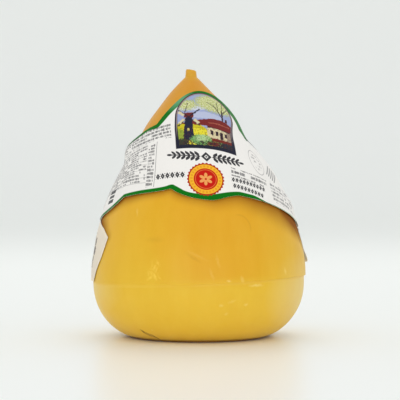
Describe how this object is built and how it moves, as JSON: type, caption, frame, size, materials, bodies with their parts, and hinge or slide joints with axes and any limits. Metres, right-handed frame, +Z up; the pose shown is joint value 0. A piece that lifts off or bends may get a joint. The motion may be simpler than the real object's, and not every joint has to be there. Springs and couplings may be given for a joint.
{
  "type": "san simon cheese",
  "caption": "Small pear-shaped smoked cheese with a smooth amber rind, a round foot, a mould line, a knob on top and paper labels wrapped round it.",
  "frame": {"origin": "centre of the small flat spot that the cheese rests on", "axes": "+Z up through the knob, the front of the label faces -Y, +X to the right seen from the front"},
  "size_m": [0.1021, 0.0998, 0.125],
  "materials": {
    "rind": "smooth, slightly waxy smoked rind, amber at the top and golden below",
    "label_paper": "coated white paper with a green printed border",
    "back_paper": "plain cream paper"
  },
  "bodies": {
    "root": {"cheese": "rind", "label": "label_paper", "back_label": "back_paper"}
  },
  "joints": []
}
